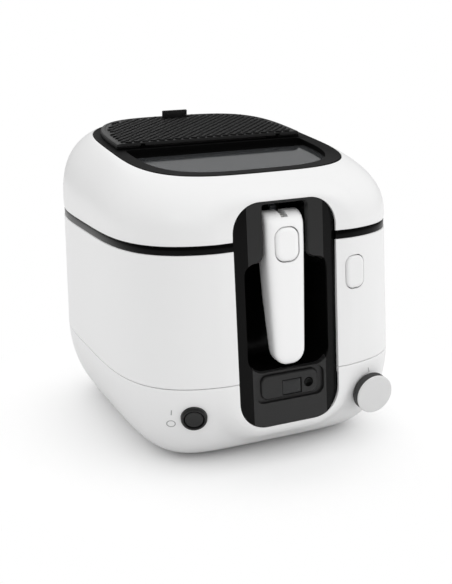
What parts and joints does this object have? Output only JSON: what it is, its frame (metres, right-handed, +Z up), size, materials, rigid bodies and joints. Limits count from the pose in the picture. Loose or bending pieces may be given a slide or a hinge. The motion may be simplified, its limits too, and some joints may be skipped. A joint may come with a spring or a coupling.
{
  "type": "deep fryer",
  "caption": "Household deep fryer with a hinged windowed lid, a filter hatch, a basket raised by a fold-down handle, a timer, a thermostat knob and push buttons.",
  "frame": {"origin": "on the table, under the middle of the bounding box", "axes": "+X to the right seen from the front, +Y to the rear where the lid hinge is, +Z up"},
  "size_m": [0.2826, 0.35, 0.3058],
  "materials": {
    "white_plastic": "satin gloss moulded",
    "black_plastic": "satin moulded",
    "dark_grey_plastic": "fine texture",
    "cream_plastic": "moulded",
    "circuit_board": "lacquered laminate",
    "display": "clear lens over a dark liquid crystal",
    "filter_foam": "open foam",
    "charcoal": "carbon fleece",
    "rubber": "matte",
    "seal_rubber": "matte silicone",
    "bowl_aluminium": "non-stick coated",
    "aluminium": "drawn sheet",
    "steel": "plain",
    "wire": "bright plated wire",
    "heater": "oxidised",
    "copper": "drawn tube",
    "glass": "clear tinted"
  },
  "bodies": {
    "base": {"base_tray": "white_plastic", "bottom_cover": "black_plastic", "cover_screws": "steel", "rubber_feet": "rubber", "body_shell": "white_plastic", "rim_band": "black_plastic", "oil_bowl": "bowl_aluminium", "heating_element": "heater", "heat_shield": "aluminium", "shield_nuts": "steel", "sensor_bulb": "copper", "thermal_fuse": "cream_plastic", "thermostat": "cream_plastic", "power_ring": "black_plastic", "power_switch": "dark_grey_plastic", "terminal_block": "cream_plastic", "cord_inlet": "black_plastic", "console": "black_plastic", "console_screws": "steel", "timer_plate": "dark_grey_plastic", "timer_display": "display", "timer_board": "circuit_board", "timer_battery": "steel", "handle_axle": "steel", "lever_axle": "steel", "lid_hinge_pin": "steel", "lid_springs": "steel"},
    "lid": {"lid_shell": "white_plastic", "top_panel": "black_plastic", "window_pane": "glass", "lid_liner": "aluminium", "lid_seal": "seal_rubber", "liner_screws": "steel", "foam_filter": "filter_foam", "charcoal_filter": "charcoal", "lid_striker": "steel"},
    "hatch": {"filter_hatch": "black_plastic"},
    "handle": {"handle_grip": "white_plastic", "hub_gear": "white_plastic"},
    "grip_release": {"grip_button": "white_plastic"},
    "lift_arm": {"lift_lever": "steel", "lift_bar": "steel"},
    "basket": {"basket_mesh": "wire", "basket_rim": "wire", "basket_straps": "wire", "basket_feet": "wire"},
    "knob": {"knob_cap": "white_plastic", "knob_skirt": "dark_grey_plastic", "knob_shaft": "steel"},
    "power": {"power_button": "black_plastic"},
    "lid_release": {"release_button": "white_plastic", "latch_hook": "dark_grey_plastic"},
    "timer": {"timer_button": "dark_grey_plastic"}
  },
  "joints": [
    {"name": "lid_hinge", "type": "hinge", "parent": "base", "child": "lid", "pos_m": [0, 0.16883, 0.2142], "axis": [-1, 0, 0], "range_deg": [0, 80]},
    {"name": "hatch_hinge", "type": "hinge", "parent": "lid", "child": "hatch", "pos_m": [0, -0.00014, 0.28254], "axis": [1, 0, 0], "range_deg": [0, 70]},
    {"name": "handle_hinge", "type": "hinge", "parent": "base", "child": "handle", "pos_m": [0, -0.1483, 0.22], "axis": [-1, 0, 0], "range_deg": [0, 90]},
    {"name": "grip_press", "type": "slide", "parent": "handle", "child": "grip_release", "axis": [0, 1, 0], "range_m": [0, 0.0015], "stiffness_N_per_m": 200},
    {"name": "lever_hinge", "type": "hinge", "parent": "base", "child": "lift_arm", "pos_m": [0, -0.13242, 0.22848], "axis": [-1, 0, 0], "range_deg": [-90, 0]},
    {"name": "basket_lift", "type": "slide", "parent": "base", "child": "basket", "axis": [0, 0, 1], "range_m": [0, 0.03682]},
    {"name": "knob_turn", "type": "hinge", "parent": "base", "child": "knob", "pos_m": [0.0872, -0.1581, 0.0534], "axis": [-0.0381, 0.9926, 0.1149], "range_deg": [0, 270]},
    {"name": "power_press", "type": "slide", "parent": "base", "child": "power", "axis": [0.3478, 0.905, 0.2451], "range_m": [0, 0.0025], "stiffness_N_per_m": 200},
    {"name": "release_press", "type": "slide", "parent": "base", "child": "lid_release", "axis": [-0.1768, 0.9838, -0.0291], "range_m": [0, 0.003], "stiffness_N_per_m": 300},
    {"name": "timer_press", "type": "slide", "parent": "base", "child": "timer", "axis": [0, 0.9991, -0.0426], "range_m": [0, 0.0008], "stiffness_N_per_m": 200}
  ],
  "couplings": [
    {"joint": "lever_hinge", "follows": "handle_hinge", "ratio": -1},
    {"joint": "basket_lift", "follows": "handle_hinge", "m_per_rad": 0.023408}
  ]
}
